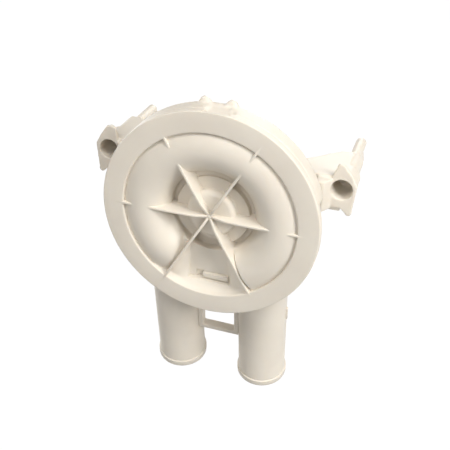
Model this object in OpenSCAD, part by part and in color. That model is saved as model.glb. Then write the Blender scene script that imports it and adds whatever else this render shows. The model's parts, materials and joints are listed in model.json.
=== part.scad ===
// Two-port washer drain pump. Millimetres, +Z up, +Y towards the motor.
// Depths are counted from the front face of the cover ring; the whole pump is then moved
// so that the origin lies on the pump axis, at the mouth of the drive socket.

/* [Cover] */
// Thickness of the ring at its edge
ring_t = 4.5; // [3.5:0.5:5.5]
// Radius of the inner edge of the flat ring
ring_in_r = 53; // [52:0.25:54]
// Width of the ring's land outside the O-ring
rim_land = 6.5; // [5:0.5:9]
// Rounding of the ring's edges
ring_round = 0.9; // [0.4:0.1:1.4]
// Wall of the moulded cover
cover_wall = 2.6; // [2:0.1:3]
// Distance from the ring's inner edge in to the crown of the side-channel bulge
crown_inset = 11; // [10.8:0.1:11.4]
// Height of the crown above the ring face
crown_h = 0.8; // [0:0.1:1.5]
// Section radius of the bulge outside the crown
bulge_out_r = 10.6; // [9.6:0.1:11]
// Section radius of the bulge inside the crown
bulge_in_r = 16.5; // [15.5:0.1:17]
// Half angle of the bottom sector without a bulge
gap_half_angle = 45; // [44:0.5:45.5]
// Depth of the floor of that sector
floor_y = 8.5; // [7:0.1:8.6]
// Width, height and depth of the rectangular pocket in the bottom sector
pocket_w = 19; // [12:0.5:24]
pocket_h = 6; // [4:0.5:8]
pocket_d = 1.6; // [0.6:0.1:2]
// Distance from the pump axis down to the middle of that pocket
pocket_z = 44; // [40:0.5:46]
// How far the inner slope of the bulge runs under the edge of the round recess
recess_overlap = 0.5; // [0.3:0.1:0.8]
// Depth of the edge of the recess
recess_y = 9; // [8:0.1:10]
// Width of the groove round the raised disc in the recess
groove_w = 4.2; // [3:0.1:5]
// Depth of the top of that disc
disc_y = 10.5; // [10:0.1:12]
// Depth of the groove round the disc
groove_y = 15; // [13.5:0.1:15.5]
// Width of the disc's land round the central boss
disc_land = 5.3; // [3:0.1:6]
// Depth of the top of the boss
boss_y = 5; // [4:0.1:6.5]
// Rounding of the boss's edge
boss_round = 3.5; // [1:0.1:3.5]
// Number of radial ribs
rib_count = 6; // [4:2:8]
// Thickness of a rib
rib_w = 1.3; // [1:0.1:2]
// Radius within which the ribs dip to the centre
dip_r = 9; // [6:0.5:11]
// Depth of that dip at the centre
dip_y = 3.4; // [1:0.1:4]

/* [Housing] */
// Distance from the ring's inner edge in to the wall of the pump chamber
chamber_step = 3; // [2.6:0.1:3.4]
// Depth of the chamber's rear wall
chamber_y = 38; // [38:0.1:38.5]
// Wall of the chamber
wall = 3.5; // [3:0.1:4]
// Depth of the rear edge of the thick upper rim
rim_y = 16; // [14:0.5:20]
// Depth of the thin lower rim, and its step in from the cover ring
low_rim_y = 12; // [12:0.1:13]
low_rim_step = 1.8; // [1:0.1:3]
// Angle between the level and the ends of the thick rim
rim_end_angle = 17; // [10:1:30]
// Distance that the cover's spigot reaches into the housing
cover_seat_y = 11.2; // [11.2:0.1:11.5]
// Step from the ring's inner edge out to the cover's spigot
seat_step = 1.6; // [1:0.1:2]
// Distance from that spigot out to the O-ring's centre line
seal_land = 4.9; // [4:0.1:6]
// Thickness of the O-ring
seal_ring_t = 2.5; // [2:0.1:3]
// Radius of the rear boss
rear_boss_r = 19; // [18.5:0.1:22]
// Depth of the end of the rear boss
rear_boss_y = 63; // [62:0.1:63.5]
// Number of ribs that brace the rear boss
brace_count = 6; // [3:1:8]

/* [Spigots] */
// Distance from the ring's inner edge in to each spigot's axis
port_inset = 23.7; // [23:0.1:24.5]
// Depth of the spigots' axes at the height of port_z
port_y = 24; // [23.8:0.1:24.4]
port_z = -40; // [-41:0.1:-39]
// Outer radius of a spigot, for 32 mm hose
port_r = 15.9; // [15.5:0.1:16.2]
// Thickness of a spigot's wall
port_wall = 3.1; // [2.9:0.1:3.5]
// Angle by which the spigots lean back
port_tilt = 9.6; // [8:0.1:10.5]
// Distance from port_z to the joint between housing and spigot, and to the valve seat
joint_s = 14; // [13.5:0.1:15]
valve_s = 24; // [23:0.1:25]
// Distance from port_z to the hose bead
bead_s = 93.2; // [80:0.1:110]
// Length and radius of the hose bead
bead_l = 4.8; // [4:0.1:7]
bead_r = 16.9; // [16.5:0.1:17.5]
// Distance from port_z to the middle of the tie bar
tie_s = 61.2; // [50:0.1:75]
// Height and depth of the tie bar
tie_h = 3; // [2:0.1:5]
tie_d = 6; // [4:0.1:9]
// Thickness of the webs beside the spigots
web_t = 2.3; // [1.6:0.1:3.5]

/* [Mounting arms] */
// Distance of the ear bores outside the cover ring, and their height above the pump axis
ear_out = 5.6; // [5:0.1:8]
ear_z = 22; // [20:0.1:24]
// Depth of the ear's front face
ear_y = 22; // [20:0.1:24]
// Radius of the ear bore
ear_bore_r = 6.2; // [5.5:0.1:6.6]
// Depth of the ear bore
ear_bore_l = 18; // [12:0.5:20]
// Radius of the wall round the bore
ear_wall_r = 7.9; // [7.8:0.1:9]
// Thickness of the arm's plates
plate_t = 2.6; // [2:0.1:3.5]
// Radius of the post's barrel and depth of its end
barrel_r = 6; // [5:0.1:6.6]
barrel_y = 61; // [56:0.5:64]
// Radius of the post's pin and depth of its tip
pin_r = 3.4; // [2.8:0.1:4]
post_tip_y = 92; // [84:0.5:98]
// Thickness of the fin under the post
fin_t = 2.4; // [1.6:0.1:3.5]

/* [Rotor] */
// Clearance between the impeller and the chamber
impeller_gap = 4; // [3:0.1:8]
// Depth and thickness of the impeller's disc
impeller_y = 33; // [32:0.1:33.5]
impeller_t = 3; // [2.5:0.1:3.2]
// Number of vanes and their thickness
vane_count = 8; // [5:1:10]
vane_t = 2.6; // [2:0.1:4]
// Clearance between the vanes and the cover
vane_gap = 1.6; // [1.2:0.1:2.5]
// Radius of the impeller's hub
hub_r = 11; // [9.5:0.1:12.5]
// Radius of the drive shaft
shaft_r = 7; // [6.5:0.1:7.2]
// Depth of the shaft's front end and of the mouth of its drive socket
shaft_front_y = 24; // [23:0.1:26]
mouth_y = 68; // [67:0.1:70]
// Radius of the drive socket, distance between its flats and its depth
socket_r = 4.6; // [4:0.1:5]
socket_flats = 7.2; // [6:0.1:7.8]
socket_l = 18; // [12:0.5:22]

/* [Shaft seal and bearing] */
// Radius and depth of the seal pocket
pocket_r = 15.6; // [15:0.1:16.5]
pocket_y = 50.5; // [50:0.1:51]
// Radius of the slinger's chamber, and its length
sling_room_r = 12; // [11.5:0.1:13]
sling_room_l = 4; // [3.5:0.1:4.5]
// Radius of the bearing sleeve
sleeve_r = 10; // [9.5:0.1:10.8]
// Running clearance of the shaft in the sleeve
run_gap = 0.05; // [0.02:0.01:0.08]
// Gap between pieces that are assembled face to face
fit_gap = 0.05; // [0.03:0.01:0.1]
// Wire radius, turns and mean radius of the seal spring
wire_r = 0.7; // [0.5:0.05:0.8]
spring_turns = 3; // [2:1:3]
spring_r = 11.2; // [10.8:0.1:11.8]
// Radius of the weep hole under the slinger
weep_r = 1.5; // [1:0.1:1.8]

/* [Flapper] */
// Radius and thickness of the flap
flap_r = 10.4; // [9.8:0.1:10.6]
flap_t = 2; // [1.5:0.1:2.4]
// Radius of the opening that it closes
seat_bore_r = 9.3; // [8:0.1:9.6]
// Thickness of the valve seat
seat_t = 2.5; // [2:0.1:4]
// Distance of the hinge from the spigot's axis
hinge_offset = 9.8; // [9.6:0.1:10]
// Radius of the hinge pin, radius and half length of the knuckle
hinge_pin_r = 1.2; // [1:0.1:1.4]
knuckle_r = 2.1; // [1.9:0.1:2.2]
knuckle_half = 4.4; // [3:0.1:4.5]
// Gap between the closed flap and its seat
flap_gap = 0.3; // [0.2:0.1:0.5]

/* [Hidden] */
$fn = 96;

// Depths and radii that follow from the sizes above
cream = [0.84, 0.80, 0.75];
cover_seat_r = ring_in_r + seat_step;
seal_ring_r = cover_seat_r + seal_land;
ring_r = seal_ring_r + rim_land;
low_rim_r = ring_r - low_rim_step;
crown_r = ring_in_r - crown_inset;
recess_r = crown_r - bulge_in_r + recess_overlap;
disc_r = recess_r - groove_w;
boss_r = disc_r - disc_land;
chamber_r = ring_in_r - chamber_step;
impeller_r = chamber_r - impeller_gap;
port_x = ring_in_r - port_inset;
ear_x = ring_r + ear_out;
arm_root_x = ear_x - 26.6;
out_arc_y = bulge_out_r - crown_h;
in_arc_y = bulge_in_r - crown_h;
groove_back_y = groove_y + cover_wall;
groove_wall_r = recess_r + cover_wall;
channel_r = crown_r + bulge_out_r;
cove_r = floor_y - ring_round;
end_wall_angle = 4;
rib_r = ring_in_r + ring_round;
lip = 1.2;
rib_set = 0.2;
rib_foot_y = groove_y + 1;
shell_foot_y = cover_seat_y - 1;
seat_gap = 0.3;
rabbet_y = cover_seat_y + seat_gap;
rabbet_r = cover_seat_r + seat_gap;
bowl_r = chamber_r + wall;
rear_y = chamber_y + wall;
spigot_end_s = bead_s + bead_l;
port_bore_r = port_r - port_wall;
bridge_x = port_x - port_r;
impeller_back_y = impeller_y + impeller_t;
hub_back_y = impeller_back_y + 1.6;
vane_front_y = cover_seat_y + vane_gap;
vane_inner_y = groove_back_y + vane_gap;
vane_step_r = groove_wall_r + vane_gap;
bearing_y = pocket_y + sling_room_l;
hinge_s = valve_s + seat_t + flap_gap + knuckle_r + 0.2;
flap_top_s = valve_s + seat_t + flap_gap;
flap_offset = hinge_offset - flap_r;
hinge_pin_half = port_r - 5.5;
web_set = 0.8;

// Depths of the seal's pieces, from the impeller to the floor of the pocket
bellows_y = hub_back_y + fit_gap;
seat_y = pocket_y - 4;
face_t = 2.4;
face_y = seat_y - fit_gap - face_t;
bellows_l = face_y - fit_gap - bellows_y;
seat_r = pocket_r - 3;

// The pump's frame: the mouth of the drive socket becomes the origin
module in_frame() {
    translate([0, -mouth_y, 0]) children();
}

// A section in (radius, depth) turned round the pump axis, from angle a counter-clockwise
// as seen from the front
module turned(a = 0, sweep = 360) {
    rotate([-90, 0, 0]) rotate([0, 0, -a - sweep]) rotate_extrude(angle = sweep) children();
}

// A section in (radius, depth) that stands on a radius at angle a, t thick
module standing(a, t) {
    rotate([0, -a, 0]) translate([0, 0, -t / 2]) linear_extrude(t) children();
}

// Rectangle between two radii and two depths
module band(r0, r1, y0, y1) {
    translate([r0, y0]) square([r1 - r0, y1 - y0]);
}

// Plain ring round the pump axis
module ring(r0, r1, y0, y1) {
    turned() band(r0, r1, y0, y1);
}

// The leaning frame of a spigot: its origin on the axis at port_z, -Z towards the hose end
module at_port(side) {
    translate([side * port_x, port_y, port_z]) rotate([port_tilt, 0, 0]) children();
}

// Rod along a spigot's axis between two distances from port_z
module port_rod(r, s0, s1) {
    translate([0, 0, -s1]) cylinder(r = r, h = s1 - s0);
}

// The two arcs of the bulge's section, with the wall taken off for its inside
module bulge_arcs(inset, inner_limit, back) {
    intersection() {
        translate([crown_r, out_arc_y]) circle(bulge_out_r - inset);
        band(crown_r, channel_r - 0.4, -crown_h - 1, back);
    }
    intersection() {
        translate([crown_r, in_arc_y]) circle(bulge_in_r - inset);
        band(inner_limit, crown_r, -crown_h - 1, back);
    }
}

// Flat ring with rounded edges and the spigot that centres it in the housing
module ring_section() {
    band(ring_in_r + ring_round, ring_r - ring_round, 0, ring_t);
    band(ring_in_r, ring_r, ring_round, ring_t);
    band(channel_r - 0.8, cover_seat_r, ring_t, cover_seat_y);
    for (r = [ring_in_r + ring_round, ring_r - ring_round])
        translate([r, ring_round]) circle(ring_round);
}

// Round recess with its groove, raised disc and boss
module recess_section() {
    band(0, boss_r - boss_round, boss_y, groove_back_y);
    band(0, boss_r, boss_y + boss_round, groove_back_y);
    translate([boss_r - boss_round, boss_y + boss_round]) circle(boss_round);
    band(0, disc_r, disc_y, groove_back_y);
    band(0, groove_wall_r, groove_y, groove_back_y);
    polygon([[recess_r, recess_y + lip], [groove_wall_r - 0.6, recess_y - lip / 2],
        [groove_wall_r, recess_y - lip / 2], [groove_wall_r, groove_back_y], [recess_r, groove_back_y]]);
}

// What is hollow behind the disc and the boss
module recess_inside() {
    band(0, disc_r - cover_wall, disc_y + cover_wall, groove_back_y + 1);
    band(0, boss_r - cover_wall, boss_y + boss_round, groove_back_y);
    band(0, boss_r - boss_round, boss_y + cover_wall, groove_back_y);
}

// Floor of the bottom sector and the hollow that leads to it
module bottom_section() {
    difference() {
        band(recess_r + lip / 2, ring_in_r + 0.5, ring_round, cover_seat_y);
        band(recess_r - 1, ring_in_r - cove_r, 0, floor_y);
        translate([ring_in_r - cove_r, floor_y - cove_r]) circle(cove_r);
    }
}

// Rounded end of the bulge
module bulge_end(a, r) {
    rotate([0, -a, 0]) translate([crown_r, out_arc_y, 0]) sphere(r);
}

// Rib right across the cover, with its dip at the centre
module cover_rib(a) {
    half = [[dip_r, rib_set], [rib_r, rib_set], [rib_r, shell_foot_y], [groove_wall_r - 0.5, shell_foot_y],
        [groove_wall_r - 0.5, rib_foot_y]];
    other_half = [for (i = [len(half) - 1:-1:0]) [-half[i][0], half[i][1]]];
    standing(a, rib_w) polygon(concat([[0, dip_y]], half, other_half));
}

module front_cover() {
    a0 = gap_half_angle - 90;
    sweep = 360 - 2 * gap_half_angle;
    color(cream) in_frame() difference() {
        union() {
            turned() ring_section();
            turned() recess_section();
            turned(a0, sweep) bulge_arcs(0, recess_r + recess_overlap, cover_seat_y);
            turned(a0 + sweep, 360 - sweep) bottom_section();
            intersection() {
                union() {
                    bulge_end(a0, bulge_out_r);
                    bulge_end(a0 + sweep, bulge_out_r);
                }
                ring(0, ring_in_r + 0.3, -ring_t, cover_seat_y - 0.7);
            }
            for (i = [0:rib_count / 2 - 1]) cover_rib(i * 360 / rib_count);
            ring(0, 1.5 * rib_w, dip_y - 0.6, boss_y + 1);
        }
        turned() recess_inside();
        turned(a0 + end_wall_angle, sweep - 2 * end_wall_angle)
            bulge_arcs(cover_wall, groove_wall_r, cover_seat_y + 1);
        bulge_end(a0, bulge_out_r - cover_wall);
        bulge_end(a0 + sweep, bulge_out_r - cover_wall);
        translate([0, floor_y - pocket_d / 2, -pocket_z])
            cube([pocket_w, 3 * pocket_d, pocket_h], center = true);
    }
}

module cover_seal() {
    color([0.12, 0.12, 0.13]) in_frame() turned()
        translate([seal_ring_r, ring_t + fit_gap + seal_ring_t / 2]) circle(seal_ring_t / 2);
}

// Small hooked lug on the top of the rim
module rim_lug(x) {
    lug_w = 6.4;
    lug_h = 3.6;
    translate([x - lug_w / 2, rim_y - 3.4, ring_r - 2]) cube([lug_w, 3.4, lug_h]);
    translate([x - 1.5, rim_y - 2.6, ring_r - 2]) cube([3, 2.2, lug_h + 1.4]);
}

// Stepped notch in the top of the thick rim
module rim_notch() {
    notch_w = 17;
    notch_x = -5;
    translate([notch_x, ring_t - 1, ring_r - 2]) cube([notch_w, 5, 6]);
    translate([notch_x + 1.5, ring_t - 1, ring_r - 1.2]) cube([notch_w - 5, 8.5, 6]);
}

// Tapered rib that braces the rear boss on the rear wall
module brace(a) {
    standing(a, 2.4) polygon([[rear_boss_r - 1, rear_y - 1], [bowl_r - 1, rear_y - 1],
        [bowl_r - 1, rear_y], [rear_boss_r + 2, rear_boss_y - 7], [rear_boss_r - 1, rear_boss_y - 7]]);
}

module rear_housing() {
    thick_sweep = 180 - 2 * rim_end_angle;
    color(cream) in_frame() difference() {
        union() {
            ring(0, bowl_r, ring_t, rear_y);
            turned(rim_end_angle + thick_sweep - 2, 364 - thick_sweep)
                band(chamber_r, low_rim_r, ring_t, low_rim_y);
            turned(rim_end_angle, thick_sweep) band(chamber_r, ring_r, ring_t, rim_y);
            ring(0, rear_boss_r, rear_y - 1, rear_boss_y);
            for (side = [-1, 1]) at_port(side) port_rod(port_r, -8, joint_s);
            for (x = [-8, 8]) rim_lug(x);
            for (i = [0:brace_count - 1]) brace(30 + i * 360 / brace_count);
        }
        ring(0, chamber_r, -1, chamber_y);
        ring(0, rabbet_r, -1, rabbet_y);
        ring(seal_ring_r - seal_ring_t / 2 - 0.3, seal_ring_r + seal_ring_t / 2 + 0.3,
            ring_t - 1, ring_t + seal_ring_t + 2 * fit_gap);
        ring(0, pocket_r, chamber_y - 1, pocket_y);
        ring(0, sling_room_r, pocket_y - 1, bearing_y);
        ring(0, sleeve_r + fit_gap, bearing_y - 1, rear_boss_y + 1);
        for (side = [-1, 1]) at_port(side) port_rod(port_bore_r, -14, joint_s + 1);
        translate([0, pocket_y + sling_room_l / 2, -rear_boss_r - 2])
            cylinder(r = weep_r, h = rear_boss_r);
        rim_notch();
    }
}

// Hose spigot with its bead, cut off square at the joint with the housing
module spigot_body() {
    lead = 0.7;
    difference() {
        union() {
            port_rod(port_r, joint_s + fit_gap, spigot_end_s - lead);
            port_rod(bead_r, bead_s, spigot_end_s - lead);
            translate([0, 0, -spigot_end_s]) cylinder(r1 = bead_r - lead, r2 = bead_r, h = lead);
        }
        port_rod(port_bore_r, joint_s - 1, spigot_end_s + 1);
    }
}

module inlet_spigot() {
    color(cream) in_frame() at_port(-1) spigot_body();
}

module outlet_spigot() {
    side_rib_s = 33;
    color(cream) in_frame() at_port(1) difference() {
        union() {
            spigot_body();
            difference() {
                port_rod(port_bore_r + 1, valve_s, valve_s + seat_t);
                translate([0, flap_offset, 0]) port_rod(seat_bore_r, valve_s - 1, valve_s + seat_t + 1);
            }
            translate([port_r - 1, -1, -side_rib_s - 10]) cube([1.9, 2, 10]);
        }
        translate([-hinge_pin_half - fit_gap, hinge_offset, -hinge_s]) rotate([0, 90, 0])
            cylinder(r = hinge_pin_r + fit_gap, h = 2 * (hinge_pin_half + fit_gap));
    }
}

module flapper_pin() {
    color([0.72, 0.72, 0.74]) in_frame() at_port(1)
        translate([-hinge_pin_half, hinge_offset, -hinge_s]) rotate([0, 90, 0])
            cylinder(r = hinge_pin_r, h = 2 * hinge_pin_half);
}

module flapper() {
    color([0.2, 0.2, 0.22]) in_frame() at_port(1) difference() {
        union() {
            translate([0, flap_offset, 0]) port_rod(flap_r, flap_top_s, flap_top_s + flap_t);
            translate([-knuckle_half, hinge_offset, -hinge_s]) rotate([0, 90, 0])
                cylinder(r = knuckle_r, h = 2 * knuckle_half);
        }
        translate([-port_r, hinge_offset, -hinge_s]) rotate([0, 90, 0])
            cylinder(r = hinge_pin_r + run_gap, h = 2 * port_r);
    }
}

// Tie bar between the spigots, with a web up each spigot to the housing
module spigot_bridge() {
    web_top_s = 5;
    bar_low_s = tie_s + tie_h / 2;
    overlap = 4;
    color(cream) in_frame() difference() {
        translate([0, port_y, port_z]) rotate([port_tilt, 0, 0]) translate([0, -tie_d + 1, 0]) {
            translate([-bridge_x - overlap, 0, -bar_low_s])
                cube([2 * (bridge_x + overlap), tie_d, tie_h]);
            for (side = [-1, 1])
                translate([side * (bridge_x - web_t + (web_t + overlap) / 2), tie_d / 2,
                    -(bar_low_s + web_top_s) / 2])
                    cube([web_t + overlap, tie_d, bar_low_s - web_top_s], center = true);
        }
        for (side = [-1, 1]) at_port(side) port_rod(port_r + fit_gap, -20, spigot_end_s);
        ring(0, bowl_r + fit_gap, 0, rear_y + fit_gap);
    }
}

// Front outline of the ear: tip, outer corner, tab and root, round at its ends
module ear_outline(tip_w) {
    tip_r = 2;
    polygon([[ear_x - 4.6, ear_z - 12.3], [ear_x, ear_z - 11.3], [ear_x + 3.8, ear_z - 15],
        [ear_x + 6.9, ear_z - 13.8], [ear_x + ear_wall_r + 0.6, ear_z + 2.8],
        [ear_x + 5, ear_z + 9.4], [ear_x + 0.3 * tip_w, ear_z + 15.2],
        [ear_x - 3.4 - 0.5 * tip_w, ear_z + 14.4],
        [ear_x - 5.8, ear_z + 8], [ear_x - 7, ear_z + 1], [ear_x - 5.4, ear_z - 6]]);
    translate([ear_x, ear_z]) circle(ear_wall_r);
    translate([ear_x - 1.8, ear_z + 13.8]) circle(tip_r);
    translate([ear_x + 5.2, ear_z - 13.8]) circle(tip_r);
}

// The upper shelf, seen from above: its rear edge climbs to the post
module shelf_outline() {
    polygon([[arm_root_x, ear_y + web_set], [ear_x, ear_y + web_set], [ear_x + 1, barrel_y - 2],
        [ear_x - 7, barrel_y - 3.5], [ear_x - 13, barrel_y - 9], [ear_x - 18, rear_y + 5],
        [ear_x - 22, rear_y + 1.5], [arm_root_x, rear_y - 2]]);
}

// Cheek that slants from the rear of the rim back to the ear, seen from above
module cheek_outline() {
    front_y = rim_y + fit_gap;
    polygon([[ear_x - 14, front_y], [ear_x - 9.2, front_y], [ear_x - 4.6, ear_y + 1.5],
        [ear_x - 4.6, ear_y + 3], [ear_x - 14, ear_y + 3]]);
}

// Post behind the ear: bore wall, barrel, taper and pin
module post_solid() {
    tip_round = 1.2;
    post_wall_r = ear_wall_r - 0.2;
    translate([ear_x, 0, ear_z]) turned() polygon([[0, ear_y + 1], [post_wall_r, ear_y + 1],
        [post_wall_r, ear_y + ear_bore_l], [barrel_r, ear_y + ear_bore_l + 4], [barrel_r, barrel_y],
        [pin_r, barrel_y + 6], [pin_r, post_tip_y - tip_round],
        [pin_r - tip_round, post_tip_y], [0, post_tip_y]]);
}

// Fin between the ear's tab and the post
module post_fin() {
    fin_angle = -69;
    tab_l = 15.2;
    translate([ear_x, 0, ear_z]) standing(fin_angle, fin_t)
        polygon([[0, ear_y + 1], [tab_l, ear_y + 1], [12.8, ear_y + 8], [8.6, post_tip_y - 10],
            [pin_r - 0.3, post_tip_y - 4], [0, post_tip_y - 4]]);
}

module arm_solid(tip_w) {
    shelf_z = ear_z + 5;
    low_z = ear_z - 14;
    difference() {
        union() {
            translate([0, ear_y + plate_t, 0]) rotate([90, 0, 0]) linear_extrude(plate_t) ear_outline(tip_w);
            translate([arm_root_x, ear_y + web_set, low_z])
                cube([ear_x - arm_root_x, plate_t, shelf_z + plate_t - low_z]);
            translate([0, 0, low_z + 1]) linear_extrude(shelf_z - low_z) cheek_outline();
            translate([0, 0, shelf_z]) linear_extrude(plate_t) shelf_outline();
            translate([0, 0, low_z]) linear_extrude(plate_t) shelf_outline();
            post_solid();
            post_fin();
        }
        translate([ear_x, 0, ear_z]) ring(0, ear_bore_r, ear_y - 1, ear_y + ear_bore_l);
        ring(0, bowl_r + fit_gap, 0, rear_y + fit_gap);
    }
}

module right_arm() {
    color(cream) in_frame() arm_solid(0);
}

module left_arm() {
    color(cream) in_frame() mirror([1, 0, 0]) arm_solid(3);
}

module vane(a) {
    standing(a, vane_t) polygon([[hub_r - 1, vane_inner_y], [vane_step_r, vane_inner_y],
        [vane_step_r, vane_front_y], [impeller_r, vane_front_y + 1], [impeller_r, impeller_y + 1],
        [hub_r - 1, impeller_y + 1]]);
}

module impeller() {
    color([0.80, 0.80, 0.78]) in_frame() difference() {
        union() {
            ring(0, impeller_r, impeller_y, impeller_back_y);
            ring(0, hub_r, vane_inner_y, hub_back_y);
            for (i = [0:vane_count - 1]) vane(i * 360 / vane_count);
        }
        ring(0, shaft_r + fit_gap, shaft_front_y - fit_gap, hub_back_y + 1);
    }
}

module drive_hub() {
    clip_y = rear_boss_y + 1.1;
    color([0.62, 0.62, 0.64]) in_frame() difference() {
        ring(0, shaft_r, shaft_front_y, mouth_y);
        ring(shaft_r - 1.1, shaft_r + 1, clip_y, clip_y + 1.1);
        translate([0, mouth_y + 1, 0]) rotate([90, 0, 0]) linear_extrude(socket_l + 1) intersection() {
            circle(socket_r);
            square([2 * socket_r, socket_flats], center = true);
        }
    }
}

module seal_bellows() {
    flange_t = 1.3;
    color([0.13, 0.13, 0.14]) in_frame() {
        ring(shaft_r + fit_gap, shaft_r + 2.2, bellows_y, bellows_y + bellows_l);
        ring(shaft_r + fit_gap, spring_r + 1, bellows_y, bellows_y + flange_t);
    }
}

// Points of one ring of the spring's wire, at turn share t from 0 to 1
function wire_ring(t, y0, y1, sides) = [for (k = [0:sides - 1])
    let (a = 360 * spring_turns * t, b = 360 * k / sides, r = spring_r + wire_r * cos(b))
        [r * cos(a), y0 + (y1 - y0) * t + wire_r * sin(b), r * sin(a)]];

module seal_spring() {
    sides = 6;
    steps = 24 * spring_turns;
    y0 = bellows_y + 1.3 + wire_r + fit_gap;
    y1 = face_y - wire_r - fit_gap;
    points = [for (i = [0:steps]) each wire_ring(i / steps, y0, y1, sides)];
    walls = [for (i = [0:steps - 1], k = [0:sides - 1])
        let (a = i * sides + k, b = i * sides + (k + 1) % sides)
            each [[a, b, b + sides], [a, b + sides, a + sides]]];
    first = [for (k = [1:sides - 2]) [0, k + 1, k]];
    last = [for (k = [1:sides - 2]) [steps * sides, steps * sides + k, steps * sides + k + 1]];
    color([0.7, 0.7, 0.72]) in_frame() polyhedron(points, concat(walls, first, last));
}

module seal_face() {
    color([0.16, 0.16, 0.17]) in_frame() ring(shaft_r + 0.3, spring_r + 1.2, face_y, face_y + face_t);
}

module seal_seat() {
    color([0.93, 0.92, 0.88]) in_frame() ring(shaft_r + 1, seat_r, seat_y, pocket_y - 1.2);
}

module seat_cup() {
    color([0.13, 0.13, 0.14]) in_frame() {
        ring(seat_r + fit_gap, pocket_r - fit_gap, seat_y + 0.4, pocket_y - fit_gap);
        ring(shaft_r + 1.6, seat_r + 1, pocket_y - 1.2 + fit_gap, pocket_y - fit_gap);
    }
}

module slinger() {
    mid_y = pocket_y + sling_room_l / 2;
    tip_r = sling_room_r - 1.4;
    color([0.13, 0.13, 0.14]) in_frame() turned() polygon([[shaft_r + fit_gap, mid_y - 1.2],
        [tip_r, mid_y - 0.4], [tip_r, mid_y + 0.4], [shaft_r + fit_gap, mid_y + 1.2]]);
}

module bearing_sleeve() {
    color([0.72, 0.55, 0.32]) in_frame() ring(shaft_r + run_gap, sleeve_r, bearing_y, rear_boss_y);
}

module thrust_washer() {
    color([0.9, 0.9, 0.88]) in_frame()
        ring(shaft_r + 0.1, sleeve_r + 1, rear_boss_y + fit_gap, rear_boss_y + 1);
}

module retaining_ring() {
    clip_y = rear_boss_y + 1.1 + fit_gap;
    color([0.5, 0.5, 0.52]) in_frame() turned(-60, 300)
        band(shaft_r - 1.05, shaft_r + 2.4, clip_y, clip_y + 1);
}

front_cover();
cover_seal();
rear_housing();
inlet_spigot();
outlet_spigot();
spigot_bridge();
left_arm();
right_arm();
seal_seat();
seat_cup();
bearing_sleeve();
flapper_pin();
impeller();
drive_hub();
seal_face();
seal_bellows();
seal_spring();
slinger();
thrust_washer();
retaining_ring();
flapper();
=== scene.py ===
"""Two-port washer drain pump: the looks of its pieces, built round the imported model."""
import json
import math

import bmesh
import bpy
from mathutils import Matrix, Vector


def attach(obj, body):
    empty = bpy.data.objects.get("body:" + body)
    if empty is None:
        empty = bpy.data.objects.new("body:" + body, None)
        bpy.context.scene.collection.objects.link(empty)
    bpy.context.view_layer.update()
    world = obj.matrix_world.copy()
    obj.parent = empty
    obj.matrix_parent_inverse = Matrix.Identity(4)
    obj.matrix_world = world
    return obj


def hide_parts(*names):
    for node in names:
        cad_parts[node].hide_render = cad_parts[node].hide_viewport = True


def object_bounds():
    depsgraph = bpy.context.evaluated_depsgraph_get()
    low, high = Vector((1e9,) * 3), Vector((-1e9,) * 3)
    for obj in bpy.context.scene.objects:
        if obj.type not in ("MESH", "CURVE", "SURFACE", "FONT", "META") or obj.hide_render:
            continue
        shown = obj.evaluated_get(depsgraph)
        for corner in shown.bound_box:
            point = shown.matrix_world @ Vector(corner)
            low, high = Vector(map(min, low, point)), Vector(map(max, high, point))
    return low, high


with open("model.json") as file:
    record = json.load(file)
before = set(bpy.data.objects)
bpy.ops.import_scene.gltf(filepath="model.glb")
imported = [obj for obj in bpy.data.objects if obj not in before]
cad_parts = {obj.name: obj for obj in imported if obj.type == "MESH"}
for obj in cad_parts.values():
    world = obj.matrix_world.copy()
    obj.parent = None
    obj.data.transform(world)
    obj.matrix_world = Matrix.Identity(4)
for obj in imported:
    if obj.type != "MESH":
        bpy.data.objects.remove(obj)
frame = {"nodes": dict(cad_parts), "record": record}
cad_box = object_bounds()
nodes = frame["nodes"]

# Sizes in millimetres, as in part.scad. Depths are counted from the front face of the cover
# ring; place() moves them to the pump's frame, whose origin is the drive socket's mouth.
MM = 0.001
MOUTH = 68.0
# Cover: its flat ring and the groove inside it
RING_R, RING_T, RING_IN, RING_ROUND, RIM_GROOVE = 66.0, 4.5, 53.0, 0.9, 2.4
# its bulge: radius and height of the crown, radii of both flanks, and where it ends, as angles
# from straight down
CROWN_R, CROWN_H, IN_R, OUT_R = 42.0, 1.0, 16.5, 20.0
LEFT_END, RIGHT_END = math.radians(45), math.radians(33)
# the floor of the bottom sector, and how far from the ring it starts to climb
FLOOR_Y, CLIMB = 7.3, 14.0
# the recess: edge, disc, groove round the disc, boss
RECESS_R, RECESS_Y, DISC_R, DISC_Y, GROOVE_Y = 26.0, 9.0, 22.6, 10.2, 14.0
BOSS_R, BOSS_Y, BOSS_ROUND = 15.2, 5.0, 3.2
# the ribs, with their dip to the centre
RIB_W, RIB_TOP, DIP_R, DIP_Y, CREST_Y = 1.5, -0.3, 9.0, 3.2, 3.6
# the seat on the housing, and the walls
SEAT_R, SEAT_Y, WALL, BULGE_WALL = 54.6, 11.2, 2.6, 2.7
# Spigots: place and size, lengths along the axis, and the flap's seat in the outlet
PORT_X, PORT_Y, PORT_Z, PORT_R, BORE_R = 29.3, 24.0, -40.0, 15.9, 12.8
TILT = math.radians(9.6)
JOINT_S, VALVE_S, BEAD_S, BEAD_L, BEAD_R = 14.0, 24.0, 93.2, 4.8, 16.9
SEAT_HOLE, SEAT_OFF, SEAT_T = 9.3, -0.6, 2.5
# Tie bar: below TIE_TOP it lies lower than the solid, eased in over TIE_SPAN
TIE_TOP, TIE_SPAN, TIE_DROP = -91.0, 6.0, 1.6


def linear(code):
    """sRGB hex to linear RGBA."""
    parts = [int(code[i:i + 2], 16) / 255 for i in (1, 3, 5)]
    return [c / 12.92 if c <= 0.04045 else ((c + 0.055) / 1.055) ** 2.4 for c in parts] + [1.0]


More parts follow.
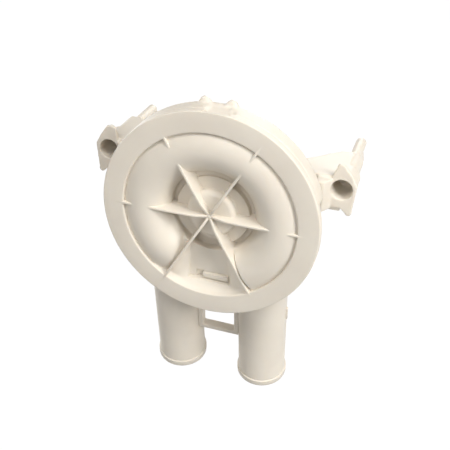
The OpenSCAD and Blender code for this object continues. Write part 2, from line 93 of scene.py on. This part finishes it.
def add_node(tree, kind, links=None, **settings):
    """A node of a kind, with its sockets and properties set, and its inputs linked."""
    node = tree.nodes.new(kind)
    for key, value in settings.items():
        if key in node.inputs:
            node.inputs[key].default_value = value
        elif key[:3] == "in_" and key[3:].isdigit():
            node.inputs[int(key[3:])].default_value = value
        else:
            setattr(node, key, value)
    for key, source in (links or {}).items():
        tree.links.new(source, node.inputs[key])
    return node


def new_material(name):
    mat = bpy.data.materials.new(name)
    mat.use_nodes = True
    mat.node_tree.nodes.clear()
    return mat, mat.node_tree


def finish_material(tree, shader):
    add_node(tree, "ShaderNodeOutputMaterial", {"Surface": shader.outputs[0]})


def object_coords(tree, scale):
    coords = add_node(tree, "ShaderNodeTexCoord")
    return add_node(tree, "ShaderNodeMapping", {0: coords.outputs["Object"]}, Scale=scale)


def moulded_plastic(name, pale, deep, rough, grain_mm, grain_depth, soft):
    """Injection-moulded polyolefin: a satin skin with a faint orange-peel from the tool,
    slow changes of shade where the melt flowed, and light that sinks a little into it."""
    mat, tree = new_material(name)
    local = object_coords(tree, (1, 1, 1))
    flow = add_node(tree, "ShaderNodeTexNoise", {0: local.outputs[0]}, Scale=38.0, Detail=3.0,
                    Roughness=0.55)
    shade = add_node(tree, "ShaderNodeValToRGB", {0: flow.outputs[0]})
    shade.color_ramp.elements[0].position, shade.color_ramp.elements[1].position = 0.3, 0.7
    shade.color_ramp.elements[0].color, shade.color_ramp.elements[1].color = deep, pale
    peel = add_node(tree, "ShaderNodeTexNoise", {0: local.outputs[0]},
                    Scale=1000 / grain_mm, Detail=2.0, Roughness=0.6)
    bump = add_node(tree, "ShaderNodeBump", {"Height": peel.outputs[0]}, Strength=1.0,
                    Distance=grain_depth * MM)
    gloss = add_node(tree, "ShaderNodeMapRange", {0: flow.outputs[0]}, in_3=rough - 0.04,
                     in_4=rough + 0.05)
    skin = add_node(tree, "ShaderNodeBsdfPrincipled",
                    {"Base Color": shade.outputs[0], "Roughness": gloss.outputs[0],
                     "Normal": bump.outputs[0]}, IOR=1.49)
    skin.inputs["Subsurface Weight"].default_value = soft
    skin.inputs["Subsurface Radius"].default_value = (1.0, 0.8, 0.55)
    skin.inputs["Subsurface Scale"].default_value = 1.2 * MM
    finish_material(tree, skin)
    return mat


def plain_metal(name, pale, deep, rough, scratch_scale):
    """Turned or drawn metal: fine lines round the axis, in colour and in gloss."""
    mat, tree = new_material(name)
    lines = object_coords(tree, scratch_scale)
    marks = add_node(tree, "ShaderNodeTexNoise", {0: lines.outputs[0]}, Scale=600.0, Detail=3.0)
    shade = add_node(tree, "ShaderNodeMixRGB", {0: marks.outputs[0]}, Color1=deep, Color2=pale)
    gloss = add_node(tree, "ShaderNodeMapRange", {0: marks.outputs[0]}, in_3=rough - 0.07,
                     in_4=rough + 0.1)
    bump = add_node(tree, "ShaderNodeBump", {"Height": marks.outputs[0]}, Strength=0.5,
                    Distance=0.02 * MM)
    skin = add_node(tree, "ShaderNodeBsdfPrincipled",
                    {"Base Color": shade.outputs[0], "Roughness": gloss.outputs[0],
                     "Normal": bump.outputs[0]}, Metallic=1.0)
    finish_material(tree, skin)
    return mat


def grained(name, pale, deep, rough, grain_mm, depth, metal=0.0):
    """A material with a fine even grain: moulded rubber, pressed powder or fired clay."""
    mat, tree = new_material(name)
    spots = object_coords(tree, (1, 1, 1))
    grain = add_node(tree, "ShaderNodeTexNoise", {0: spots.outputs[0]}, Scale=1000 / grain_mm,
                     Detail=3.0, Roughness=0.65)
    shade = add_node(tree, "ShaderNodeMixRGB", {0: grain.outputs[0]}, Color1=deep, Color2=pale)
    bump = add_node(tree, "ShaderNodeBump", {"Height": grain.outputs[0]}, Strength=0.8,
                    Distance=depth * MM)
    skin = add_node(tree, "ShaderNodeBsdfPrincipled",
                    {"Base Color": shade.outputs[0], "Normal": bump.outputs[0]},
                    Roughness=rough, Metallic=metal)
    finish_material(tree, skin)
    return mat


cream = moulded_plastic("moulded_cream_polypropylene", linear("#E0D8CA"), linear("#DAD1C3"),
                        0.46, 0.9, 0.012, 0.2)
wheel = moulded_plastic("moulded_glass_filled_polypropylene", linear("#D9D8D0"),
                        linear("#CBCAC2"), 0.5, 0.7, 0.02, 0.05)
washer = moulded_plastic("moulded_white_acetal", linear("#ECEBE6"), linear("#E2E1DC"), 0.4,
                         0.9, 0.01, 0.1)
rubber = grained("moulded_epdm_rubber", linear("#2B2B2D"), linear("#1D1D1F"), 0.62, 0.5, 0.02)
carbon = grained("pressed_carbon_graphite", linear("#3A3A3D"), linear("#26262A"), 0.38, 0.3,
                 0.01)
ceramic = grained("sintered_alumina", linear("#F1EFE8"), linear("#E6E3DA"), 0.28, 0.4, 0.005)
bronze = grained("sintered_bronze", linear("#B98A50"), linear("#8A6234"), 0.45, 0.25, 0.02, 1.0)
shaft = plain_metal("turned_stainless_steel", linear("#C9C9CB"), linear("#A9A9AD"), 0.28,
                    (0.05, 1, 0.05))
spring = plain_metal("drawn_spring_steel", linear("#BEBEC2"), linear("#98989E"), 0.32,
                     (1, 1, 1))

finish_of = {
    "moulded_body": cream, "impeller_plastic": wheel, "black_rubber": rubber,
    "shaft_steel": shaft, "spring_steel": spring, "sintered_bronze": bronze,
    "carbon": carbon, "seal_ceramic": ceramic, "washer_plastic": washer,
}
for part in frame["record"]["subparts"]:
    piece = nodes[part["node"]]
    piece.data.materials.clear()
    piece.data.materials.append(finish_of[part["material_slot"]])


# Meshes ---------------------------------------------------------------------------------


def place(bm):
    """From millimetres behind the ring face to metres in the pump's frame."""
    bmesh.ops.translate(bm, vec=(0, -MOUTH, 0), verts=bm.verts)
    bmesh.ops.scale(bm, vec=(MM, MM, MM), verts=bm.verts)


def solid(bm, name):
    """An object from a closed bmesh in millimetres, with its faces turned outwards."""
    bmesh.ops.remove_doubles(bm, verts=bm.verts, dist=0.002)
    bmesh.ops.recalc_face_normals(bm, faces=bm.faces)
    place(bm)
    mesh = bpy.data.meshes.new(name)
    bm.to_mesh(mesh)
    bm.free()
    made = bpy.data.objects.new(name, mesh)
    bpy.context.scene.collection.objects.link(made)
    return made


def combine(name, base, adds=(), cuts=()):
    """Adds and cuts solids, and keeps the result as one mesh."""
    for others, how in ((adds, "UNION"), (cuts, "DIFFERENCE")):
        for other in others:
            step = base.modifiers.new("fit", "BOOLEAN")
            step.operation, step.object, step.solver = how, other, "EXACT"
    dg = bpy.context.evaluated_depsgraph_get()
    mesh = bpy.data.meshes.new_from_object(base.evaluated_get(dg))
    bm = bmesh.new()
    bm.from_mesh(mesh)
    bmesh.ops.remove_doubles(bm, verts=bm.verts, dist=0.002 * MM)
    bm.to_mesh(mesh)
    bm.free()
    for old in (base, *adds, *cuts):
        bpy.data.objects.remove(old)
    mesh.name = name
    made = bpy.data.objects.new(name, mesh)
    bpy.context.scene.collection.objects.link(made)
    return made


def dress(piece, body, finish, slot, *stands_for, angle=32):
    """Finish and body of a piece, and the nodes that it stands for. The slot argument is not
    used.
    """
    piece.data.materials.clear()
    piece.data.materials.append(finish)
    for face in piece.data.polygons:
        face.use_smooth = True
    piece.data.set_sharp_from_angle(angle=math.radians(angle))
    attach(piece, body)
    if stands_for:
        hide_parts(*stands_for)


def arc(cx, cy, r, a0, a1, count):
    """Points of an arc in (radius, depth), angles in degrees."""
    return [(cx + r * math.cos(math.radians(a0 + (a1 - a0) * i / count)),
             cy + r * math.sin(math.radians(a0 + (a1 - a0) * i / count)))
            for i in range(count + 1)]


def spun(profile, steps=256, matrix=None):
    """A closed shape turned from a profile in (radius, depth) about the pump axis.
    A profile whose ends lie off the axis is closed on itself."""
    bm = bmesh.new()
    verts = [bm.verts.new((r, y, 0)) for r, y in profile]
    edges = [bm.edges.new(pair) for pair in zip(verts, verts[1:])]
    if profile[0][0] > 0.001 or profile[-1][0] > 0.001:
        edges.append(bm.edges.new((verts[-1], verts[0])))
    bmesh.ops.spin(bm, geom=verts + edges, cent=(0, 0, 0), axis=(0, 1, 0),
                   angle=math.tau, steps=steps, use_merge=True, use_duplicate=False)
    bmesh.ops.remove_doubles(bm, verts=bm.verts, dist=0.002)
    if matrix:
        bmesh.ops.transform(bm, matrix=matrix, verts=bm.verts)
    return bm


def slab(points, low, high, bevel=0.0, matrix=None):
    """A plate with an outline in the x-z plane, from depth low to depth high."""
    bm = bmesh.new()
    face = bm.faces.new([bm.verts.new((x, low, z)) for x, z in points])
    grown = bmesh.ops.extrude_face_region(bm, geom=[face])
    moved = [g for g in grown["geom"] if isinstance(g, bmesh.types.BMVert)]
    bmesh.ops.translate(bm, vec=(0, high - low, 0), verts=moved)
    bmesh.ops.recalc_face_normals(bm, faces=bm.faces)
    if bevel:
        bmesh.ops.bevel(bm, geom=bm.edges[:], offset=bevel, segments=2, profile=0.5,
                        affect="EDGES", material=-1)
    if matrix:
        bmesh.ops.transform(bm, matrix=matrix, verts=bm.verts)
    return bm


# The moulded cover ----------------------------------------------------------------------


def bulge_depth(dr, s, wall=0.0):
    """Depth of the bulge, dr outward from its crown and s past its end: round towards the
    recess, and a wider arc towards the ring. With a wall, depth of its inside."""
    r = IN_R - wall
    reach = math.hypot(min(dr, 0.0), s)
    if reach >= r:
        return 1e3
    out = OUT_R - math.sqrt(OUT_R ** 2 - max(dr, 0.0) ** 2)
    return IN_R - math.sqrt(r * r - reach * reach) + out - CROWN_H


def eased(t):
    """0 to 1 with a soft start and end."""
    t = min(max(t, 0.0), 1.0)
    return t * t * (3 - 2 * t)


def floor_depth(r):
    """Depth of the bottom sector, with a hollow curve that climbs to the ring."""
    t = min(max((r - RING_IN + CLIMB) / CLIMB, 0.0), 1.0)
    return FLOOR_Y - (FLOOR_Y - RING_ROUND) * (1 - math.sqrt(1 - t * t))


def cheek(x, z, r):
    """Change of that floor between its two ribs: 1.2 mm deeper in the middle, and from 13.2 mm
    off it a slope up to each rib. It fades out from 16 to 2 mm inside the ring."""
    if abs(math.atan2(x, -z)) > math.radians(29.5):
        return 0.0
    t = min(max((r - RING_IN + 16.0) / 14.0, 0.0), 1.0)
    return (1 - t * t) * (1.2 - 0.55 * max(abs(x) - 13.2, 0.0))


def recess_sector(x, z):
    """Between the ribs, how far the disc's edge steps in, and the share of its full depth that
    the groove round it has. Each change from one sector to the next lies under a rib."""
    a = math.degrees(math.atan2(z, x)) % 360
    if 241 < a < 299:  # bottom
        return 3.6, 1.0
    if 61 < a < 119:  # top
        return 0.0, 0.4
    return (2.0 * a / 60 if a < 59 else 0.0), 1.0


def soft_min(a, b, k):
    """The shallower of two depths, with a fillet of about k where they meet."""
    h = max(k - abs(a - b), 0.0) / k
    return min(a, b) - h * h * k * 0.25


def past_end(x, z):
    """How far a point lies past the nearer end of the bulge, 0 along the bulge itself. The
    left end falls away before its rib, the right one runs up to its rib and stops there, so
    its distance is counted six times."""
    off = abs(math.atan2(x, -z))
    if x < 0:
        return max(LEFT_END - off, 0.0) * CROWN_R
    return max(RIGHT_END - off, 0.0) * CROWN_R * 6


def cover_shell():
    """The cover without its ribs. The spun profile has two stretches of marked depths, the
    bulge's face and its inside, which get their depth point by point afterwards."""
    groove, face_mark, inside_mark = 0.8, 500.0, -1.0
    front = [(0.0, BOSS_Y), (4.0, BOSS_Y), (9.0, BOSS_Y)]
    front += arc(BOSS_R - BOSS_ROUND, BOSS_Y + BOSS_ROUND, BOSS_ROUND, -90, 0, 8)
    front += arc(BOSS_R + groove, DISC_Y - groove, groove, 180, 90, 4)
    front += arc(DISC_R - 0.5, DISC_Y + 0.5, 0.5, -90, 0, 3)
    front += arc(DISC_R + groove, GROOVE_Y - groove, groove, 180, 90, 4)
    front += arc(RECESS_R - groove, GROOVE_Y - groove, groove, 90, 0, 4)
    front += [(RECESS_R, 11.6)]
    radii = [RECESS_R + 0.1, 26.3, 26.6, 27.0, 27.4]
    radii += [28 + 0.5 * i for i in range(50)]
    face = [(r, face_mark) for r in radii if r < RING_IN - 0.01]
    ring = [(RING_IN, 2.1), (RING_IN, 1.5)]
    ring += arc(RING_IN + RING_ROUND, RING_ROUND, RING_ROUND, 180, 270, 6)
    ring += [(RING_R - RING_ROUND - 5, 0.0)]
    ring += arc(RING_R - RING_ROUND, RING_ROUND, RING_ROUND, -90, 0, 6)
    ring += [(RING_R, RING_T), (SEAT_R, RING_T), (SEAT_R, SEAT_Y)]
    # The inside follows the bulge, the recess, the disc and the boss, a wall's thickness off.
    back = [(50.0, SEAT_Y)] + [(50 - 0.3 - 0.75 * i, inside_mark) for i in range(28)]
    back += [(28.6, SEAT_Y + 1.2), (28.6, GROOVE_Y + WALL), (19.2, GROOVE_Y + WALL),
             (19.2, DISC_Y + WALL), (13.9, DISC_Y + WALL), (13.9, BOSS_Y + 3.5),
             (13.0, BOSS_Y + WALL), (0.0, BOSS_Y + WALL)]
    bm = spun(front + face + ring + back, 288)
    for v in bm.verts:
        x, y, z = v.co
        r = math.hypot(x, z)
        s = past_end(x, z)
        fade = eased(s / 8.0)
        if abs(y - face_mark) < 0.01:
            # The flanks blend into the groove inside the ring and into the recess's edge,
            # the ends into the floor of the bottom sector.
            near = RIM_GROOVE if r > CROWN_R else RECESS_Y + 0.6
            base = near + (floor_depth(r) - near) * fade if s > 0 or r > CROWN_R else near
            base += cheek(x, z, r)
            soft = 1.8 if r < CROWN_R or s > 0 else 0.5
            depth = soft_min(bulge_depth(r - CROWN_R, s), base, soft)
            # The last 0.75 mm before the recess turns down, as a round edge.
            land = max(RECESS_R + 0.75 - r, 0.0)
            v.co.y = depth + land * land * 1.6
        elif abs(y - inside_mark) < 0.01:
            v.co.y = min(SEAT_Y, bulge_depth(r - CROWN_R, s, BULGE_WALL))
        elif 19.0 < r < RECESS_R + 0.01 and y > DISC_Y - 0.01:
            # The disc's edge and the groove round it differ from sector to sector.
            step, deep = recess_sector(x, z)
            if r < DISC_R + 0.9:
                v.co.x, v.co.z = x * (1 - step / r), z * (1 - step / r)
            if y < GROOVE_Y + 0.01:
                v.co.y = DISC_Y + (y - DISC_Y) * deep
        elif s > 0 and abs(r - RING_IN) < 0.01 and 0.95 < y < 4:
            # Past the bulge's ends the floor climbs to the ring without a groove.
            v.co.y = RING_ROUND + (y - RING_ROUND) * (1 - fade) + 0.02
    return bm


def cover_rib(a, dip):
    """A rib right across the cover at angle a, thinner at its top, that swoops down to depth
    dip at the centre and ends in a small tick on the ring on both sides."""
    top = [(RING_IN + 2.3, 0.2), (RING_IN + 0.6, -0.17), (51.0, -0.27), (48.5, -0.36),
           (46.5, -0.44), (44.0, -0.44), (38.0, RIB_TOP), (18.0, RIB_TOP)]
    top += [(DIP_R * (1 - i / 10), dip - (dip - RIB_TOP - 0.3) * (1 - i / 10) ** 0.8)
            for i in range(11)]
    side = top + [(-x, y) for x, y in reversed(top[:-1])]
    end = [(RING_IN + 2.3, 2.2), (RING_IN + 0.8, 3.2), (RING_IN + 0.8, 9.9), (28.2, 9.9),
           (28.2, GROOVE_Y + 2)]
    foot = [(-x, y) for x, y in end] + end[::-1]
    bm = bmesh.new()
    face = bm.faces.new([bm.verts.new((x, y, -RIB_W / 2)) for x, y in side + foot])
    grown = bmesh.ops.extrude_face_region(bm, geom=[face])
    bmesh.ops.translate(bm, vec=(0, 0, RIB_W), verts=[
        g for g in grown["geom"] if isinstance(g, bmesh.types.BMVert)])
    bmesh.ops.recalc_face_normals(bm, faces=bm.faces)
    crest = [e for e in bm.edges if all(v.co.y < CREST_Y for v in e.verts)
             and abs(e.verts[0].co.z - e.verts[1].co.z) < 0.01]
    bmesh.ops.bevel(bm, geom=crest, offset=0.38, segments=3, profile=0.5, affect="EDGES",
                    material=-1)
    for v in bm.verts:  # draft: 4% wider for each millimetre of depth
        v.co.z *= 1 + 0.04 * max(v.co.y, 0.0)
    bmesh.ops.rotate(bm, cent=(0, 0, 0), matrix=Matrix.Rotation(-a, 3, "Y"), verts=bm.verts)
    return bm


def make_cover():
    shell = solid(cover_shell(), "cover_shell")
    # The dips differ a little, so that no two crests share a face where they cross.
    ribs = [solid(cover_rib(math.radians(60 * i), DIP_Y + 0.07 * i), "rib_%d" % i)
            for i in range(3)]
    nub = solid(spun([(0.0, DIP_Y - 0.9), (0.8, DIP_Y - 0.8), (1.5, DIP_Y - 0.4),
                      (1.9, DIP_Y + 0.4), (2.0, 6.8), (0.0, 6.8)], 31), "nub")

    def block(x0, x1, z0, z1, y0, y1, edge=0.25):
        return solid(slab([(x0, z0), (x1, z0), (x1, z1), (x0, z1)], y0, y1, edge), "block")

    # The bottom sector's floor ends in a wide flat; in it lie a pit and a slot round a ledge.
    pad = block(-13.7, 13.4, -47.6, -23.5, 1.0, 9.1, 0.4)
    shell = combine("shell", shell, (), [pad])
    ledge = block(-4.6, 11.6, -46.7, -43.1, 7.3, 10.8, 0.5)
    pit = block(-9.3, -4.2, -47.6, -42.4, 2.0, 10.4)
    slot = block(-6.0, 9.4, -48.0, -46.3, 2.0, 8.3, 0.5)
    # The notch at the top of the ring, and a deeper step in it.
    steps = [block(-5.0, 12.0, 65.2, 70.0, -2.0, 6.0, 0.15),
             block(-3.6, 10.6, 64.4, 70.0, 2.4, 6.0, 0.15)]
    cover = combine("cover", shell, (), [pit, slot])
    cover = combine("cover", cover, ribs + [nub, ledge], steps)
    dress(cover, "pump_body", cream, "moulded_body", "front_cover", angle=28)
    return cover


make_cover()


# The hose spigots -----------------------------------------------------------------------


def port_frame(side):
    """A spigot's own frame: its axis as the spinning axis, its mouth away from the pump."""
    lean = Matrix.Rotation(TILT, 4, "X")
    return Matrix.Translation((side * PORT_X, PORT_Y, PORT_Z)) @ lean


def spigot(side, name):
    """A hose spigot with its bead; the outlet's has the flap's seat inside and a small rib on
    its side."""
    turn = port_frame(side) @ Matrix.Rotation(math.radians(-90), 4, "X")
    end = BEAD_S + BEAD_L
    # Start at the housing, outside, bead, mouth; the profile closes along the bore.
    profile = [(BORE_R, JOINT_S + 0.05), (PORT_R - 0.4, JOINT_S - 3.2),
               (PORT_R + 0.03, JOINT_S - 2.6)]
    profile += [(PORT_R, BEAD_S - 0.5), (PORT_R + 0.15, BEAD_S - 0.12)]
    profile += arc(BEAD_R - 0.5, BEAD_S + 0.5, 0.5, -90, 0, 4)
    profile += arc(BEAD_R - 1.3, end - 1.3, 1.3, 0, 90, 6)
    profile += arc(BORE_R + 0.5, end - 0.5, 0.5, 90, 180, 4)
    made = solid(spun(profile, 128, turn), name)
    if side < 0:
        return made
    low = VALVE_S + SEAT_T
    seat = spun([(0.0, VALVE_S), (BORE_R + 1, VALVE_S), (BORE_R + 1, low), (0.0, low)], 96, turn)
    hole = spun([(0.0, VALVE_S - 3), (SEAT_HOLE, VALVE_S - 3), (SEAT_HOLE, low - 0.5),
                 (SEAT_HOLE + 0.6, low + 0.1), (0.0, low + 0.1)], 96,
                Matrix.Translation((0, SEAT_OFF, 0)) @ turn)
    rib = slab([(PORT_R - 1, -1.0), (PORT_R + 0.9, -1.0), (PORT_R + 0.9, 1.0),
                (PORT_R - 1, 1.0)], 33.0, 43.0, 0.3, turn)
    return combine(name, combine(name, made, [solid(seat, "seat")], [solid(hole, "hole")]),
                   [solid(rib, "side_rib")])


for side, name, node in ((-1, "inlet_hose_spigot", "inlet_spigot"),
                         (1, "outlet_hose_spigot", "outlet_spigot")):
    dress(spigot(side, name), "pump_body", cream, "moulded_body", node, angle=35)


# Pieces moulded with rounded edges --------------------------------------------------------


def rounded(node, name, grain, rounds):
    """A copy of a node's shape with the small edge radii of a moulding: it is cast again in
    cells of grain millimetres, and its corners are worn round."""
    mesh = nodes[node].data.copy()
    bm = bmesh.new()
    bm.from_mesh(mesh)
    bmesh.ops.remove_doubles(bm, verts=bm.verts, dist=1e-7)
    bm.to_mesh(mesh)
    bm.free()
    piece = bpy.data.objects.new(name + "_raw", mesh)
    bpy.context.scene.collection.objects.link(piece)
    cast = piece.modifiers.new("cast", "REMESH")
    cast.mode, cast.voxel_size = "VOXEL", grain * MM
    dg = bpy.context.evaluated_depsgraph_get()
    mesh = bpy.data.meshes.new_from_object(piece.evaluated_get(dg))
    bpy.data.objects.remove(piece)
    bm = bmesh.new()
    bm.from_mesh(mesh)
    for _ in range(rounds):
        bmesh.ops.smooth_vert(bm, verts=bm.verts, factor=0.5, use_axis_x=True,
                              use_axis_y=True, use_axis_z=True)
    bm.to_mesh(mesh)
    bm.free()
    made = bpy.data.objects.new(name, mesh)
    bpy.context.scene.collection.objects.link(made)
    return made


for node, name, grain, rounds in (
        ("rear_housing", "pump_housing", 0.87, 3), ("left_arm", "left_mounting_arm", 0.45, 3),
        ("right_arm", "right_mounting_arm", 0.45, 3), ("spigot_bridge", "spigot_tie", 0.4, 2)):
    cast = rounded(node, name, grain, rounds)
    if node == "spigot_bridge":
        for v in cast.data.vertices:
            v.co.z -= TIE_DROP * MM * eased((TIE_TOP * MM - v.co.z) / (TIE_SPAN * MM))
    dress(cast, "pump_body", cream, "moulded_body", node, angle=180)


# Floor, light and camera ----------------------------------------------------------------


def studio_floor(level):
    """White paper, which shows a faint shadow and gives back a little light."""
    mat, tree = new_material("white_studio_paper")
    paper = add_node(tree, "ShaderNodeBsdfDiffuse", Color=linear("#AAAAAA"))
    white = add_node(tree, "ShaderNodeEmission", Color=(1, 1, 1, 1), Strength=1.06)
    faint = add_node(tree, "ShaderNodeMixShader",
                     {1: paper.outputs[0], 2: white.outputs[0]}, in_0=0.95)
    path = add_node(tree, "ShaderNodeLightPath")
    seen = add_node(tree, "ShaderNodeMath", {0: path.outputs["Is Camera Ray"],
                                             1: path.outputs["Is Glossy Ray"]},
                    operation="ADD", use_clamp=True)
    both = add_node(tree, "ShaderNodeMixShader",
                    {0: seen.outputs[0], 1: paper.outputs[0], 2: faint.outputs[0]})
    finish_material(tree, both)
    bm = bmesh.new()
    bmesh.ops.create_grid(bm, x_segments=1, y_segments=1, size=4.0)
    bmesh.ops.translate(bm, vec=(0, 0, level), verts=bm.verts)
    mesh = bpy.data.meshes.new("floor")
    bm.to_mesh(mesh)
    bm.free()
    floor = bpy.data.objects.new("floor", mesh)
    floor.data.materials.append(mat)
    bpy.context.scene.collection.objects.link(floor)


def studio_world(light):
    """Soft light from all round, and white where the camera sees past the floor."""
    world = bpy.data.worlds.new("studio")
    bpy.context.scene.world = world
    world.use_nodes = True
    tree = world.node_tree
    tree.nodes.clear()
    soft = add_node(tree, "ShaderNodeBackground", Color=linear("#F4F3F1"), Strength=light)
    white = add_node(tree, "ShaderNodeBackground", Color=(1, 1, 1, 1), Strength=1.0)
    path = add_node(tree, "ShaderNodeLightPath")
    seen = add_node(tree, "ShaderNodeMath", {0: path.outputs["Is Camera Ray"],
                                             1: path.outputs["Is Transmission Ray"]},
                    operation="ADD", use_clamp=True)
    both = add_node(tree, "ShaderNodeMixShader",
                    {0: seen.outputs[0], 1: soft.outputs[0], 2: white.outputs[0]})
    add_node(tree, "ShaderNodeOutputWorld", {"Surface": both.outputs[0]})


def lamp(name, azimuth, height, size, watts):
    """A round soft box, 1 m from the pump."""
    light = bpy.data.lights.new(name, "AREA")
    light.shape, light.size, light.energy = "DISK", size, watts
    a, h = math.radians(azimuth), math.radians(height)
    way = Vector((math.sin(a) * math.cos(h), -math.cos(a) * math.cos(h), math.sin(h)))
    made = bpy.data.objects.new(name, light)
    made.location = Vector((0.0, -0.03, -0.02)) + way
    made.rotation_euler = (-way).to_track_quat("-Z", "Y").to_euler()
    bpy.context.scene.collection.objects.link(made)


def photo_camera():
    """The camera fitted to the outlines of the cover ring, the ribs and the spigots' ends."""
    data = bpy.data.cameras.new("camera")
    data.sensor_width, data.lens = 36.0, 60.7
    data.clip_start, data.clip_end = 0.01, 20.0
    made = bpy.data.objects.new("camera", data)
    made.location = (0.1192, -0.4255, 0.2224)
    made.rotation_euler = [math.radians(a) for a in (59.03, -1.93, 18.04)]
    bpy.context.scene.collection.objects.link(made)
    bpy.context.scene.camera = made


studio_floor(cad_box[0].z - 0.0005)
studio_world(0.15)
# Azimuth from straight in front, to the right, and height over the horizon, in degrees.
for name, azimuth, height, size, watts in (
        ("key", 62, 30, 0.4, 6.4), ("high", 60, 55, 0.4, 4.0), ("left", -30, 55, 0.4, 3.2),
        ("front", 0, 30, 0.4, 1.5), ("rear", -120, 6, 0.4, 5.5), ("side", 118, 6, 0.4, 0.9),
        ("back", 180, 20, 0.4, 2.6)):
    lamp(name, azimuth, height, size, watts)
photo_camera()
bpy.context.scene.view_settings.view_transform = "Standard"
